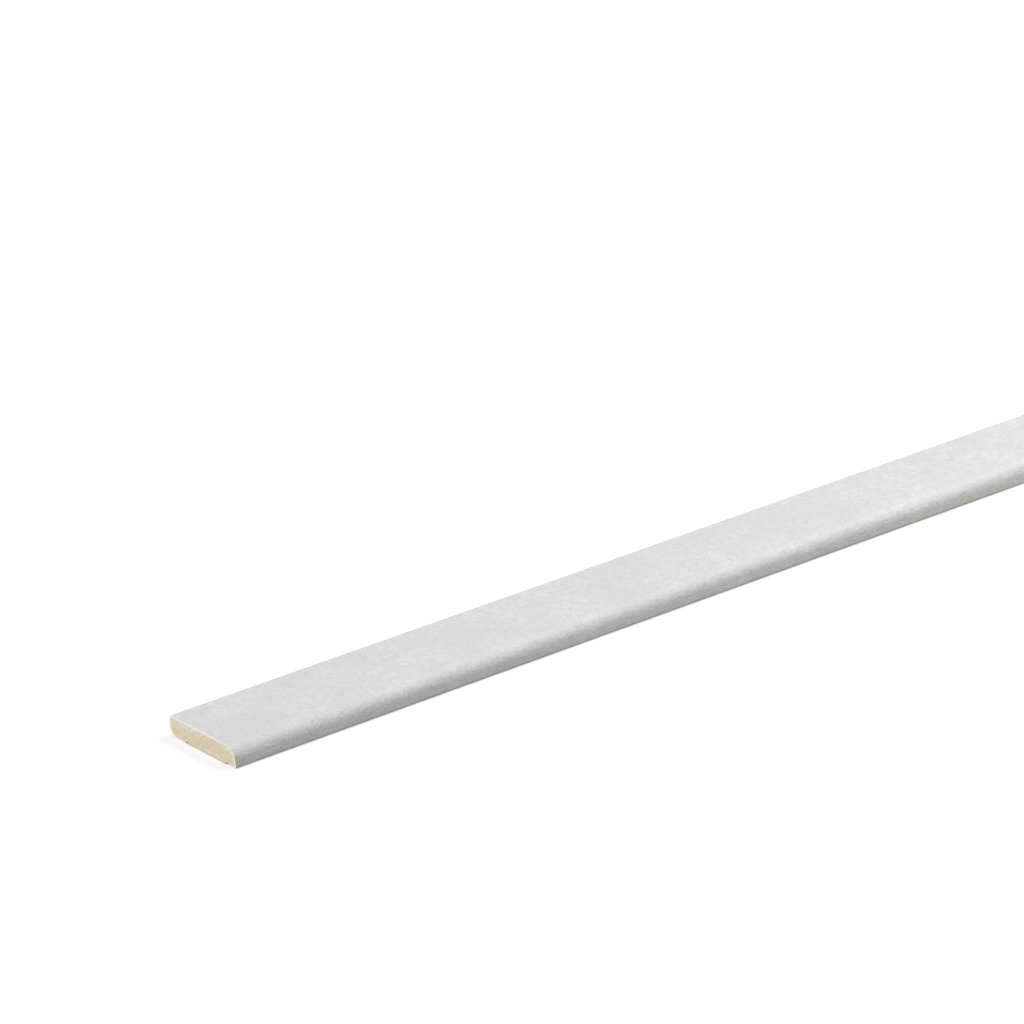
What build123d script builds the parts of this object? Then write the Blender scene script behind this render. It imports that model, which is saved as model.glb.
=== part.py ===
from build123d import *
import math
import os

# Slim self-adhesive skirting strip, in millimetres, lying on its adhesive back.
# X runs along the strip and Y across its face, with the rounded edge at -Y and the floor edge
# at +Y. Z runs from the back, at 0, up to the decor face.

# Driving dimensions of the strip
length = 2400.0
width = 24.0
thickness = 5.0

# Rounded edge: a side that leans in towards the face, a shoulder round and a soft heel
side_lean = 14.0
shoulder_radius = 3.6
heel_radius = 0.6

# Floor edge: a crisp corner at the face, and a round at the back
arris_radius = 0.6
back_radius = 3.0

# Decor foil: wrapped round the core, with a flat return under each long edge
foil_thickness = 0.5
near_return = 3.0
far_return = 3.0

# Adhesive tape and its liner, laid between the two returns
liner_thickness = 0.1
tape_gap = 0.5

# Places that follow from the dimensions
rounded_edge = -width / 2
floor_edge = width / 2
near_return_end = rounded_edge + near_return
far_return_end = floor_edge - back_radius - far_return
back_width = far_return_end - near_return_end
back_middle = (near_return_end + far_return_end) / 2
tape_width = back_width - 2 * tape_gap
tape_thickness = foil_thickness - liner_thickness


def rounded(section, corner, radius):
    """Round the corner of the section that lies at the given point."""
    vertex = section.vertices().sort_by_distance(corner)[0]
    return fillet(vertex, radius)


def strip_section():
    """Outline of the finished strip, with its widest points at both long edges."""
    heel_angle = math.radians(90 - side_lean)
    heel_reach = heel_radius / math.tan(heel_angle / 2) - heel_radius
    lean_in = thickness * math.tan(math.radians(side_lean))
    heel = (rounded_edge - heel_reach, 0)
    shoulder = (rounded_edge - heel_reach + lean_in, thickness)
    arris = (floor_edge, thickness)
    back_corner = (floor_edge, 0)
    section = make_face(Polyline(heel, shoulder, arris, back_corner, close=True))
    section = rounded(section, heel, heel_radius)
    section = rounded(section, shoulder, shoulder_radius)
    section = rounded(section, arris, arris_radius)
    return rounded(section, back_corner, back_radius)


def core_section(strip):
    """Section of the fibreboard, one foil thickness inside the finished strip."""
    return offset(strip, -foil_thickness, kind=Kind.INTERSECTION)


def foil_section(strip, core):
    """Section of the foil, open along the back between its two returns."""
    opening = Pos(back_middle, foil_thickness / 2) * Rectangle(back_width, foil_thickness)
    return strip - core - opening


def back_strip(strip_width, strip_thickness, bottom):
    """Section of a flat strip in the middle of the back, from the given height up."""
    middle_height = bottom + strip_thickness / 2
    return Pos(back_middle, middle_height) * Rectangle(strip_width, strip_thickness)


def full_length(section):
    """The section run along the whole strip, centred on its length."""
    return extrude(Plane.YZ.offset(-length / 2) * section, length)


strip = strip_section()
core = core_section(strip)

pieces = {
    "mdf_core": full_length(core),
    "decor_foil": full_length(foil_section(strip, core)),
    "adhesive_tape": full_length(back_strip(tape_width, tape_thickness, liner_thickness)),
    "release_liner": full_length(back_strip(tape_width, liner_thickness, 0)),
}

os.makedirs("parts", exist_ok=True)
for name, piece in pieces.items():
    piece.label = name
    export_step(piece, f"parts/{name}.step")
    box = piece.bounding_box()
    print(name, round(piece.volume), "mm3", box.min, box.max)
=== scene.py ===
import math

import bmesh
import bpy
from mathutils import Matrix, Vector, noise


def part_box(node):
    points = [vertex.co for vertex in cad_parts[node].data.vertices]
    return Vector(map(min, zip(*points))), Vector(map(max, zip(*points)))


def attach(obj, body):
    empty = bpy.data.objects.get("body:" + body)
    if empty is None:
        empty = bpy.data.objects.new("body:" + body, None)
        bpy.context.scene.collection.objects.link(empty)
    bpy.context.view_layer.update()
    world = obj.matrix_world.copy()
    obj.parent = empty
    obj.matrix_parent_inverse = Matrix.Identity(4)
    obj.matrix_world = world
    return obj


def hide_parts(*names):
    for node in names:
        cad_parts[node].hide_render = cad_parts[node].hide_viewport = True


# Slim self-adhesive skirting strip, wrapped in a pale concrete-look foil, lying on its back.
# Everything is in metres. X runs along the strip, Y across its face, Z up from its back.

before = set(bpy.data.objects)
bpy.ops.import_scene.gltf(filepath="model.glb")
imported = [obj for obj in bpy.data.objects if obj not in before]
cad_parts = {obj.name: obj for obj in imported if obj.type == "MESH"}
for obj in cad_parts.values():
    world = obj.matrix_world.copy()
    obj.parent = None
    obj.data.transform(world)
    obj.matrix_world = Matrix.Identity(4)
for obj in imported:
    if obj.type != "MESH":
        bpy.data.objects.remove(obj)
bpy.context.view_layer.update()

mm = 0.001

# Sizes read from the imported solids
strip_low, strip_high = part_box("decor_foil")
core_low, core_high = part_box("mdf_core")
half_length = strip_high[0]
rounded_edge = strip_low[1]
floor_edge = strip_high[1]
thickness = strip_high[2]
foil_thickness = core_low[2]

# Rounds and returns of the wrapped section
side_lean = math.radians(14)
shoulder_radius = 3.6 * mm
heel_radius = 0.6 * mm
arris_radius = 0.6 * mm
back_radius = 3.0 * mm
near_return = 3.0 * mm
far_return = 3.0 * mm

# Steps in each round, for a smooth outline
shoulder_steps = 20
heel_steps = 8
arris_steps = 8
back_steps = 18

# Edges that turn more than this stay crisp
corner_angle = math.radians(50)

# How closely cuts and places are told apart
cut_precision = 0.0001 * mm
same_place = 0.001 * mm

# Sawn ends of the fibreboard: how far in they start, the facets that they are cut into, and the
# size, relief and unevenness of their fibres
sawn_depth = 1.0 * mm
facet_size = 0.2 * mm
fibre_length = 1.4 * mm
fibre_thickness = 0.4 * mm
fibre_relief = 0.06 * mm
fibre_evenness = 0.7
fibre_ratio = 2.0
fibre_octaves = 4

# The foil's materials: the decor comes first, and its cut edge next
cut_edge_place = 1

# Bake layout: the long wrap is cut into rows, so that its pattern keeps its detail, and the
# fibreboard's sawn ends get most of theirs
wrap_rows = 7
row_margin = 0.004
hidden_share = 0.06
rim_share = 0.02
sawn_share = 0.22
underside_share = 0.1

# Colours, in linear light
decor_light = (0.781, 0.782, 0.780)
decor_dark = (0.680, 0.677, 0.676)
decor_fleck = (0.52, 0.52, 0.51)
cut_light = (0.97, 0.95, 0.93)
cut_dark = (0.94, 0.91, 0.88)
glue_line = (0.74, 0.64, 0.50)
fibre_light = (0.94, 0.88, 0.78)
fibre_mid = (0.785, 0.675, 0.515)
fibre_dark = (0.48, 0.37, 0.24)
fibre_skin = (0.93, 0.88, 0.82)
foam_light = (0.78, 0.72, 0.60)
foam_dark = (0.66, 0.59, 0.47)
paper_light = (0.78, 0.75, 0.67)
paper_dark = (0.72, 0.68, 0.59)
floor_colour = (0.44, 0.44, 0.40)
glow_colour = (0.95, 0.95, 1.0)

# Decor foil: the size of the spots in each pattern, and the depth of each relief
cloud_size = 14 * mm
mottle_size = 1.8 * mm
fleck_size = 0.7 * mm
swell_size = 4 * mm
swell_depth = 0.2 * mm
emboss_size = 0.55 * mm
emboss_depth = 0.2 * mm

# Cut edge of the foil: its fray, and how far through the foil the glue line starts
fray_size = 0.3 * mm
fray_depth = 0.02 * mm
glue_start = 0.94

# Sawn fibreboard: its fibres, and the heights between which it pales towards the face
layer_size = 0.35 * mm
layer_depth = 0.12 * mm
clump_size = 2.2 * mm
dark_fibre_size = 0.3 * mm
skin_start = 2.5 * mm
skin_full = 4.5 * mm

# Tape and liner
cell_size = 0.15 * mm
cell_depth = 0.02 * mm
formation_size = 1.5 * mm
crease_size = 9 * mm
crease_depth = 0.1 * mm

# Floor: its reach from the middle, its gap under the strip, and how brightly the camera sees it
floor_reach = 30.0
floor_clearance = 0.1 * mm
floor_glow = 0.66

# Studio light: a broad key lamp over the cut end, a crown lamp for the highlight on the shoulder,
# a fill from the right, and a faint surround. Level 1 shows a white surface that faces the lamp
# at full white. The fill's power is in watts.
world_level = 0.03
lamp_spread = math.radians(30)
key_level = 0.80
key_colour = (1.0, 0.985, 0.94)
key_direction = (-0.82, -0.03, 0.57)
crown_level = 0.50
crown_colour = (0.93, 0.95, 1.0)
crown_direction = (0.6, 0.0, 0.8)
fill_place = (-0.75, -0.25, 0.4)
fill_aim = (-0.95, 0.0, 0.0)
fill_size = 0.3
fill_power = 0.90
fill_colour = (0.97, 1.0, 0.90)

# Camera, as the photograph was taken. Its sensor and lens are in millimetres, as Blender has them.
camera_azimuth = math.radians(-40.976)
camera_elevation = math.radians(23.145)
camera_distance = 1335.4 * mm
aim_right = 61.401 * mm
aim_up = 57.322 * mm
sensor_width = 36
focal_length = 210.95
nearest_seen = camera_distance / 10
farthest_seen = camera_distance * 100


# The wrapped section


def draw_line(bm, pen, y, z):
    """Draw a straight stretch of the section from the pen to a place, and return the new pen."""
    tip = bmesh.ops.extrude_vert_indiv(bm, verts=[pen])["verts"][0]
    tip.co = (pen.co.x, y, z)
    return tip


def draw_round(bm, pen, y, z, turn, steps):
    """Draw a round of the section about a centre, and return the new pen."""
    drawn = bmesh.ops.spin(
        bm, geom=[pen], cent=(pen.co.x, y, z), axis=(1, 0, 0), angle=-turn, steps=steps
    )
    return next(item for item in drawn["geom_last"] if isinstance(item, bmesh.types.BMVert))


def draw_section(bm, inset, near_end, far_end):
    """Draw the section at one inset, over the face from one end under the back to the other."""
    heel_y = rounded_edge + heel_radius
    shoulder_z = thickness - shoulder_radius
    leaning_rise = math.sin(side_lean) * (shoulder_z - heel_radius)
    shoulder_y = heel_y + (leaning_rise + shoulder_radius - heel_radius) / math.cos(side_lean)
    side_y = shoulder_y - math.cos(side_lean) * (shoulder_radius - inset)
    side_z = shoulder_z + math.sin(side_lean) * (shoulder_radius - inset)
    arris_y = floor_edge - arris_radius
    back_y = floor_edge - back_radius
    start = bm.verts.new((-half_length, near_end, inset))
    pen = draw_line(bm, start, heel_y, inset)
    pen = draw_round(bm, pen, heel_y, heel_radius, math.pi / 2 + side_lean, heel_steps)
    pen = draw_line(bm, pen, side_y, side_z)
    pen = draw_round(bm, pen, shoulder_y, shoulder_z, math.pi / 2 - side_lean, shoulder_steps)
    pen = draw_line(bm, pen, arris_y, thickness - inset)
    pen = draw_round(bm, pen, arris_y, thickness - arris_radius, math.pi / 2, arris_steps)
    pen = draw_line(bm, pen, floor_edge - inset, back_radius)
    pen = draw_round(bm, pen, back_y, back_radius, math.pi / 2, back_steps)
    return start, draw_line(bm, pen, far_end, inset)


def run_to_far_end(bm, swept):
    """Carry the newly extruded section from the near end of the strip to the far one."""
    moved = [item for item in swept["geom"] if isinstance(item, bmesh.types.BMVert)]
    bmesh.ops.translate(bm, verts=moved, vec=(2 * half_length, 0, 0))


def cut_across(bm, geom, place, normal):
    """Cut through some of the shape along a plane, take nothing away, and return what was cut."""
    cut = bmesh.ops.bisect_plane(bm, geom=geom, plane_co=place, plane_no=normal, dist=cut_precision)
    return cut["geom"]


def looks_along(face):
    """Whether a face looks along the strip, as those of its sawn ends do."""
    return abs(face.normal.x) > 0.5


def shade_between_corners(bm):
    """Shade the rounds smoothly, and leave every true corner crisp."""
    for face in bm.faces:
        face.smooth = True
    for edge in bm.edges:
        edge.smooth = edge.calc_face_angle(0) < corner_angle


def finished(bm, name, node, materials):
    """Turn a modelled shape into a piece that stands for a node of the frame."""
    mesh = bpy.data.meshes.new(name)
    bm.to_mesh(mesh)
    bm.free()
    for material in materials:
        mesh.materials.append(material)
    piece = bpy.data.objects.new(name, mesh)
    bpy.context.scene.collection.objects.link(piece)
    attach(piece, "root")
    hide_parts(node)
    return piece


# The decor foil


def measure_girth(bm, start, girth):
    """Give each point of the drawn section its distance from the start, as a share of the girth."""
    point, edge, walked = start, start.link_edges[0], 0.0
    while edge:
        walked += edge.calc_length()
        point = edge.other_vert(point)
        point[girth] = walked
        edge = next((e for e in point.link_edges if e is not edge), None)
    for point in bm.verts:
        point[girth] /= walked


def lay_out_wrap(bm, girth, body):
    """Lay the outside of the wrap out in rows for the bake, its rims and hidden faces above them."""
    layout = bm.loops.layers.uv["OFBake"]
    row_length = 2 * half_length / wrap_rows
    row_height = (1 - hidden_share) / wrap_rows
    for face in bm.faces:
        middle = face.calc_center_median().x
        row = min(int((middle + half_length) / row_length), wrap_rows - 1)
        outside = all(vert[body] == 0 for vert in face.verts)
        for loop in face.loops:
            along = (loop.vert.co.x + half_length) / (2 * half_length)
            across = loop.vert[girth]
            if face.material_index == cut_edge_place:
                rims = 2 if middle > 0 else 1
                spot = (across, 1 - rim_share * (rims - loop.vert[body] * (1 - row_margin)))
            elif outside:
                within_row = row_margin + across * (1 - 2 * row_margin)
                spot = (along * wrap_rows - row, (row + within_row) * row_height)
            else:
                spot = (across, 1 - hidden_share + (hidden_share - 2 * rim_share) * along)
            loop[layout].uv = spot


def wrap_foil(decor, cut_edge):
    """The decor foil: a sheet drawn round the section, run along the strip and given its thickness."""
    bm = bmesh.new()
    girth = bm.verts.layers.float.new("girth")
    body = bm.verts.layers.float.new("body")
    bm.loops.layers.uv.new("OFBake")
    near_end = rounded_edge + near_return
    far_end = floor_edge - back_radius - far_return
    start, _ = draw_section(bm, 0.0, near_end, far_end)
    measure_girth(bm, start, girth)
    run_to_far_end(bm, bmesh.ops.extrude_edge_only(bm, edges=bm.edges[:]))
    for row in range(1, wrap_rows):
        place = (-half_length + row * 2 * half_length / wrap_rows, 0, 0)
        cut_across(bm, bm.verts[:] + bm.edges[:] + bm.faces[:], place, (1, 0, 0))
    bmesh.ops.recalc_face_normals(bm, faces=bm.faces[:])
    top = max(bm.faces, key=lambda face: face.calc_center_median().z)
    if top.normal.z < 0:
        bmesh.ops.reverse_faces(bm, faces=bm.faces[:])
    sheet = set(bm.verts)
    bmesh.ops.solidify(bm, geom=bm.faces[:], thickness=foil_thickness)
    bm.normal_update()
    for vert in bm.verts:
        vert[body] = 0 if vert in sheet else 1
    for face in bm.faces:
        if looks_along(face):
            face.material_index = cut_edge_place
    shade_between_corners(bm)
    lay_out_wrap(bm, girth, body)
    return finished(bm, "foil_wrap", "decor_foil", [decor, cut_edge])


# The fibreboard core


def sawn_places(end):
    """Planes that cut a sawn end into a grid of small facets."""
    for step in range(1, round((floor_edge - rounded_edge) / facet_size)):
        yield (end, rounded_edge + step * facet_size, 0), (0, 1, 0)
    for step in range(1, round(thickness / facet_size)):
        yield (end, 0, step * facet_size), (0, 0, 1)


def roughen_end(bm, end):
    """Cut one sawn end into small facets and sink them unevenly, so that its fibres stand up."""
    cap = [face for face in bm.faces if abs(face.calc_center_median().x - end) < same_place]
    cap += {edge for face in cap for edge in face.edges} | {vert for face in cap for vert in face.verts}
    for place, normal in sawn_places(end):
        cap = cut_across(bm, cap, place, normal)
    for vert in (item for item in cap if isinstance(item, bmesh.types.BMVert)):
        if all(looks_along(face) for face in vert.link_faces):
            spot = Vector((end, vert.co.y / fibre_length, vert.co.z / fibre_thickness))
            sunk = 0.5 + 0.5 * noise.fractal(spot, fibre_evenness, fibre_ratio, fibre_octaves)
            vert.co.x -= math.copysign(fibre_relief, end) * min(max(sunk, 0), 1)


def lay_out_core(bm, girth):
    """Give the two sawn ends much of the bake, and the hidden faces what is left."""
    layout = bm.loops.layers.uv["OFBake"]
    hidden = 1 - 2 * sawn_share - underside_share
    for face in bm.faces:
        middle = face.calc_center_median().x
        sawn = abs(middle) > half_length - sawn_depth / 2 and looks_along(face)
        ends = [vert[girth] for vert in face.verts]
        underside = min(ends) == 0 and max(ends) == 1
        for loop in face.loops:
            place = loop.vert.co
            along = (place.x + half_length) / (2 * half_length)
            across = (place.y - rounded_edge) / (floor_edge - rounded_edge)
            if sawn:
                spot = (across, sawn_share * (place.z / thickness + (1 if middle > 0 else 0)))
            elif underside:
                spot = (along, 1 - underside_share * (1 - row_margin) * across)
            else:
                spot = (along, 2 * sawn_share + hidden * loop.vert[girth])
            loop[layout].uv = spot


def saw_core(fibreboard):
    """The fibreboard strip inside the foil: the same section, run along the strip and sawn off."""
    bm = bmesh.new()
    girth = bm.verts.layers.float.new("girth")
    bm.loops.layers.uv.new("OFBake")
    start, end = draw_section(bm, foil_thickness, core_low[1] / 2, core_high[1] / 2)
    measure_girth(bm, start, girth)
    bmesh.ops.contextual_create(bm, geom=[start, end])
    bmesh.ops.contextual_create(bm, geom=bm.edges[:])
    run_to_far_end(bm, bmesh.ops.extrude_face_region(bm, geom=bm.faces[:], use_keep_orig=True))
    for side in (-1, 1):
        place = (side * (half_length - sawn_depth), 0, 0)
        cut_across(bm, bm.verts[:] + bm.edges[:] + bm.faces[:], place, (1, 0, 0))
    bmesh.ops.recalc_face_normals(bm, faces=bm.faces[:])
    for side in (-1, 1):
        roughen_end(bm, side * half_length)
    bm.normal_update()
    shade_between_corners(bm)
    lay_out_core(bm, girth)
    return finished(bm, "core_board", "mdf_core", [fibreboard])


# Materials


def add(tree, kind, feeds=None, **settings):
    """Add a shader node with its settings, each input fed by a value or by another node's output."""
    node = tree.nodes.new("ShaderNode" + kind)
    for name, value in settings.items():
        setattr(node, name, value)
    for name, value in (feeds or {}).items():
        if isinstance(value, bpy.types.NodeSocket):
            tree.links.new(value, node.inputs[name])
        else:
            node.inputs[name].default_value = value
    return node


def start_material(name, roughness, specular):
    """A new material with its shader, and its places on the piece."""
    material = bpy.data.materials.new(name)
    material.use_nodes = True
    tree = material.node_tree
    shader = tree.nodes["Principled BSDF"]
    shader.inputs["Roughness"].default_value = roughness
    shader.inputs["Specular IOR Level"].default_value = specular
    places = add(tree, "TexCoord").outputs["Object"]
    return material, tree, shader, places


def grain(tree, places, size, detail=2.0, roughness=0.5, distortion=0.0, stretch=(1, 1, 1)):
    """A noise pattern whose spots are about the given size, longer along an axis by its stretch."""
    scale = tuple(1 / (size * s) for s in stretch)
    moved = add(tree, "Mapping", {"Vector": places, "Scale": scale}).outputs["Vector"]
    feeds = {"Vector": moved, "Scale": 1.0, "Detail": detail, "Roughness": roughness}
    return add(tree, "TexNoise", {**feeds, "Distortion": distortion}).outputs["Fac"]


def ranged(tree, value, low, high, to_low=0.0, to_high=1.0):
    """A pattern spread from one range onto another, and kept inside it."""
    feeds = {"Value": value, "From Min": low, "From Max": high, "To Min": to_low, "To Max": to_high}
    return add(tree, "MapRange", feeds).outputs["Result"]


def blended(tree, share, first, second):
    """One colour laid over another where a pattern is high."""
    mix = add(tree, "Mix", data_type="RGBA")
    # A Mix node's colours are its inputs 6 and 7 and its output 2
    for socket, value in ((mix.inputs["Factor"], share), (mix.inputs[6], first), (mix.inputs[7], second)):
        if isinstance(value, bpy.types.NodeSocket):
            tree.links.new(value, socket)
        else:
            socket.default_value = value if isinstance(value, float) else (*value, 1)
    return mix.outputs[2]


def raised(tree, height, depth, below=None):
    """The surface's normal over a relief of the given depth, on top of a coarser one if there is one."""
    feeds = {"Height": height, "Distance": depth, "Strength": 1.0}
    if below:
        feeds["Normal"] = below
    return add(tree, "Bump", feeds).outputs["Normal"]


def concrete_decor():
    """Printed concrete look with soft clouds, a fine mottle and dark flecks, embossed over a swell."""
    material, tree, shader, places = start_material("concrete_decor", roughness=0.5, specular=0.35)
    clouds = grain(tree, places, cloud_size, detail=3, roughness=0.6)
    mottle = grain(tree, places, mottle_size, detail=5, roughness=0.85)
    flecks = grain(tree, places, fleck_size, detail=2, roughness=0.6, distortion=1.0)
    swell = grain(tree, places, swell_size, detail=2, roughness=0.6)
    emboss = grain(tree, places, emboss_size, detail=2, roughness=0.6, distortion=0.2)
    tone = blended(tree, ranged(tree, clouds, low=0.3, high=0.7), decor_light, decor_dark)
    tone = blended(tree, ranged(tree, mottle, low=0.42, high=0.58), tone, decor_dark)
    tone = blended(tree, ranged(tree, flecks, low=0.56, high=0.70, to_high=0.5), tone, decor_fleck)
    tree.links.new(tone, shader.inputs["Base Color"])
    swollen = raised(tree, swell, swell_depth)
    tree.links.new(raised(tree, emboss, emboss_depth, swollen), shader.inputs["Normal"])
    return material


def foil_cut_edge():
    """The foil's pale body, where it was cut with the board, and the glue line on its inside."""
    material, tree, shader, places = start_material("foil_cut_edge", roughness=0.6, specular=0.3)
    depth = add(tree, "Attribute", attribute_name="body").outputs["Fac"]
    fray = grain(tree, places, fray_size, detail=2)
    tone = blended(tree, ranged(tree, fray, low=0.35, high=0.65), cut_light, cut_dark)
    tone = blended(tree, ranged(tree, depth, low=glue_start, high=1), tone, glue_line)
    tree.links.new(tone, shader.inputs["Base Color"])
    tree.links.new(raised(tree, fray, fray_depth), shader.inputs["Normal"])
    return material


def sawn_fibreboard():
    """Pale pressed wood fibres lying flat in the board, a few of them dark, and paler near its face."""
    material, tree, shader, places = start_material("sawn_fibreboard", roughness=0.9, specular=0.2)
    layers = grain(tree, places, layer_size, detail=4, roughness=0.75, distortion=0.4, stretch=(2, 3, 1))
    clumps = grain(tree, places, clump_size, detail=3, roughness=0.7, stretch=(1, 2.2, 1))
    dark = grain(
        tree, places, dark_fibre_size, detail=2, roughness=0.6, distortion=0.8, stretch=(2, 2.5, 1)
    )
    height = add(tree, "SeparateXYZ", {"Vector": places}).outputs["Z"]
    tone = blended(tree, ranged(tree, layers, low=0.40, high=0.60), fibre_light, fibre_mid)
    tone = blended(tree, ranged(tree, clumps, low=0.42, high=0.64, to_high=0.85), tone, fibre_mid)
    paled = ranged(tree, height, low=skin_start, high=skin_full, to_high=0.25)
    tone = blended(tree, paled, tone, fibre_skin)
    tone = blended(tree, ranged(tree, dark, low=0.58, high=0.72, to_high=0.7), tone, fibre_dark)
    tree.links.new(tone, shader.inputs["Base Color"])
    tree.links.new(raised(tree, layers, layer_depth), shader.inputs["Normal"])
    return material


def tape_foam():
    """The soft body of the mounting tape, full of small cells."""
    material, tree, shader, places = start_material("tape_foam", roughness=0.8, specular=0.3)
    cells = grain(tree, places, cell_size, detail=2)
    tone = blended(tree, ranged(tree, cells, low=0.35, high=0.65), foam_light, foam_dark)
    tree.links.new(tone, shader.inputs["Base Color"])
    tree.links.new(raised(tree, cells, cell_depth), shader.inputs["Normal"])
    return material


def liner_paper():
    """Smooth coated paper with a faint cloudy formation and long soft creases."""
    material, tree, shader, places = start_material("liner_paper", roughness=0.45, specular=0.5)
    formation = grain(tree, places, formation_size, detail=4, roughness=0.6)
    creases = grain(tree, places, crease_size, detail=1, distortion=1.5, stretch=(4, 1, 1))
    tone = blended(tree, ranged(tree, formation, low=0.3, high=0.7), paper_light, paper_dark)
    tree.links.new(tone, shader.inputs["Base Color"])
    tree.links.new(raised(tree, creases, crease_depth), shader.inputs["Normal"])
    return material


# Floor, light and camera


def lay_floor():
    """A level pale floor that shows white to the camera, apart from the strip's own shadow."""
    bm = bmesh.new()
    bmesh.ops.create_grid(bm, x_segments=1, y_segments=1, size=floor_reach)
    bmesh.ops.translate(bm, verts=bm.verts[:], vec=(0, 0, -floor_clearance))
    mesh = bpy.data.meshes.new("floor")
    bm.to_mesh(mesh)
    bm.free()
    floor = bpy.data.objects.new("floor", mesh)
    bpy.context.scene.collection.objects.link(floor)
    material, tree, shader, _ = start_material("pale_floor", roughness=1.0, specular=0.0)
    shader.inputs["Base Color"].default_value = (*floor_colour, 1)
    shader.inputs["Emission Color"].default_value = (*glow_colour, 1)
    seen = add(tree, "LightPath").outputs["Is Camera Ray"]
    glow = ranged(tree, seen, low=0, high=1, to_high=floor_glow)
    tree.links.new(glow, shader.inputs["Emission Strength"])
    mesh.materials.append(material)


def light_world():
    """A white surround that lights the strip faintly, and shows at full white behind it."""
    world = bpy.data.worlds.new("studio")
    world.use_nodes = True
    bpy.context.scene.world = world
    tree = world.node_tree
    path = add(tree, "LightPath").outputs
    seen = path["Is Camera Ray"]
    for ray in ("Is Glossy Ray", "Is Transmission Ray"):
        seen = add(tree, "Math", {0: seen, 1: path[ray]}, operation="MAXIMUM").outputs[0]
    background = tree.nodes["Background"]
    background.inputs["Color"].default_value = (1, 1, 1, 1)
    strength = ranged(tree, seen, low=0, high=1, to_low=world_level)
    tree.links.new(strength, background.inputs["Strength"])


def hang_lamp(name, kind, colour, energy, direction, size, place=(0, 0, 0)):
    """A soft lamp that shines from a direction, or from a place for an area lamp."""
    lamp = bpy.data.lights.new(name, kind)
    lamp.color = colour
    lamp.energy = energy
    if kind == "SUN":
        lamp.angle = size
    else:
        lamp.size = size
    holder = bpy.data.objects.new(name, lamp)
    holder.location = place
    holder.rotation_euler = Vector(direction).to_track_quat("Z", "Y").to_euler()
    bpy.context.scene.collection.objects.link(holder)


def place_camera():
    """A long lens on the cut end and the first stretch of the strip."""
    back = Vector((
        math.sin(camera_azimuth) * math.cos(camera_elevation),
        -math.cos(camera_azimuth) * math.cos(camera_elevation),
        math.sin(camera_elevation),
    ))
    right = Vector((math.cos(camera_azimuth), math.sin(camera_azimuth), 0))
    up = back.cross(right)
    corner = Vector((-half_length, rounded_edge, 0))
    aim = corner + right * aim_right + up * aim_up
    lens = bpy.data.cameras.new("camera")
    lens.sensor_width = sensor_width
    lens.lens = focal_length
    lens.clip_start = nearest_seen
    lens.clip_end = farthest_seen
    camera = bpy.data.objects.new("camera", lens)
    camera.location = aim + back * camera_distance
    camera.rotation_euler = back.to_track_quat("Z", "Y").to_euler()
    bpy.context.scene.collection.objects.link(camera)
    bpy.context.scene.camera = camera


wrap_foil(concrete_decor(), foil_cut_edge())
saw_core(sawn_fibreboard())
for node, material in (("adhesive_tape", tape_foam()), ("release_liner", liner_paper())):
    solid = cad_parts[node]
    solid.data.materials.clear()
    solid.data.materials.append(material)

lay_floor()
light_world()
hang_lamp("key", "SUN", key_colour, key_level * math.pi, key_direction, lamp_spread)
hang_lamp("crown", "SUN", crown_colour, crown_level * math.pi, crown_direction, lamp_spread)
fill_direction = Vector(fill_place) - Vector(fill_aim)
hang_lamp("fill", "AREA", fill_colour, fill_power, fill_direction, fill_size, fill_place)
place_camera()
bpy.context.scene.view_settings.view_transform = "Standard"
